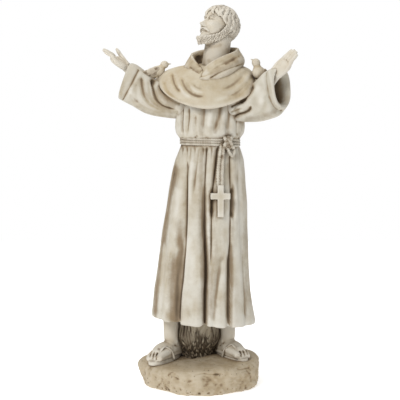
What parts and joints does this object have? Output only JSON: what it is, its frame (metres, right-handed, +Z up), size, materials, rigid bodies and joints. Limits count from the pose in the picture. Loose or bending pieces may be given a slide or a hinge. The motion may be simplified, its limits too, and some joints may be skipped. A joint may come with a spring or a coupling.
{
  "type": "standing robed saint garden statue",
  "caption": "Cast stone garden statue of a bearded, robed standing figure with arms raised, small birds perched on the sleeves, a corded belt with a cross, and a low rock base.",
  "frame": {"origin": "centre of the rock base's flat underside", "axes": "+Z up the figure, -Y the way the robe faces, +X the figure's left"},
  "size_m": [0.463, 0.2608, 0.9205],
  "materials": {
    "aged_cast_stone": "matt ivory and tan cast stone with brown grime in its hollows"
  },
  "bodies": {
    "root": {"saint_figure_statue": "aged_cast_stone"}
  },
  "joints": []
}
